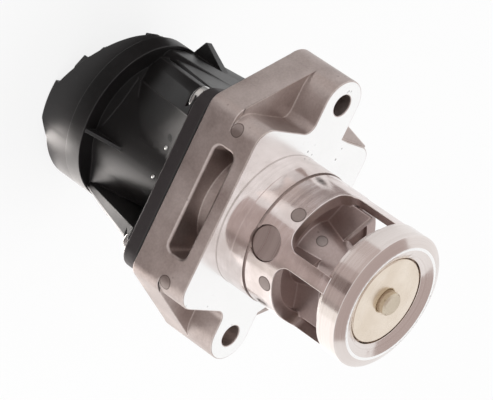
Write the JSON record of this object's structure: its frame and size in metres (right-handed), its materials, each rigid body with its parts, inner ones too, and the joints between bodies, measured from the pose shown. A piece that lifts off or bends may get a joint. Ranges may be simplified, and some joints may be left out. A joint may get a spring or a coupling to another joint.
{
  "type": "exhaust gas recirculation valve",
  "caption": "Motor-driven exhaust gas recirculation valve: cast housing with a windowed nose, poppet valve and seat ring, cam gear train and black motor cover.",
  "frame": {"origin": "on the valve axis, in the machined mounting face, at the root of the pilot that locates the nose", "axes": "+Z along the valve axis towards the poppet, X through the two mounting holes, -Y the front wall with the core pocket"},
  "size_m": [0.095, 0.0644, 0.1322],
  "materials": {
    "cast_aluminium": "as-cast, with turned and milled faces",
    "turned_steel": "turned",
    "bronze": "sintered bronze",
    "seal_black": "matte",
    "stem_steel": "ground, heat-tinted end",
    "poppet_steel": "fine turned",
    "bright_steel": "ground",
    "spring_steel": "drawn wire",
    "magnet": "sintered",
    "gear_plastic": "moulded",
    "armature_steel": "laminated",
    "copper": "enamelled wire and bars",
    "plated_steel": "zinc plated",
    "carbon": "graphite",
    "black_plastic": "glass-filled nylon, satin",
    "cap_plastic": "glass-filled nylon, satin",
    "board_green": "lacquered",
    "screw_steel": "zinc plated",
    "tin_plate": "tinned"
  },
  "bodies": {
    "housing": {"valve_housing": "cast_aluminium", "seat_ring": "turned_steel", "cross_hole_plug": "turned_steel", "stem_guide_bush": "bronze", "stem_seal": "seal_black", "spring_seat": "bright_steel", "return_spring": "spring_steel", "guide_sleeve": "bright_steel", "cam_retaining_ring": "spring_steel", "idler_axle": "bright_steel", "motor_magnets": "magnet", "motor_can": "plated_steel", "brush_holder": "gear_plastic", "motor_brushes": "carbon", "rear_bearing": "bronze", "motor_end_plate": "plated_steel", "front_bearing": "bright_steel", "flange_gasket": "seal_black", "flange_plate": "black_plastic", "sensor_board": "board_green", "cover_screws": "screw_steel", "motor_cover": "black_plastic", "end_cap": "cap_plastic", "connector_socket": "black_plastic", "connector_pins": "tin_plate"},
    "valve": {"valve_stem": "stem_steel", "poppet_disc": "poppet_steel", "spring_retainer": "bright_steel", "cross_pin": "bright_steel", "pin_rollers": "bright_steel", "sensor_magnet": "magnet"},
    "cam": {"cam_gear": "gear_plastic"},
    "idler": {"idler_gear": "gear_plastic"},
    "rotor": {"motor_pinion": "bronze", "motor_shaft": "bright_steel", "motor_armature": "armature_steel", "armature_windings": "copper", "commutator": "copper"}
  },
  "joints": [
    {"name": "valve_lift", "type": "slide", "parent": "housing", "child": "valve", "axis": [0, 0, 1], "range_m": [0, 0.006], "stiffness_N_per_m": 1500, "springref_m": -0.004, "deforming": ["return_spring"]},
    {"name": "cam_turn", "type": "hinge", "parent": "housing", "child": "cam", "pos_m": [0, 0, -0.013], "axis": [0, 0, 1], "range_deg": [0, 110]},
    {"name": "idler_spin", "type": "hinge", "parent": "housing", "child": "idler", "pos_m": [0.01373, 0.01255, -0.015], "axis": [0, 0, 1], "range_deg": [-378, 0]},
    {"name": "motor_spin", "type": "hinge", "parent": "housing", "child": "rotor", "pos_m": [0, 0.0082, -0.045], "axis": [0, 0, 1], "range_deg": [0, 1132]}
  ],
  "couplings": [
    {"joint": "cam_turn", "follows": "valve_lift", "rad_per_m": 319.98},
    {"joint": "idler_spin", "follows": "valve_lift", "rad_per_m": -1097.1},
    {"joint": "motor_spin", "follows": "valve_lift", "rad_per_m": 3291.2}
  ]
}
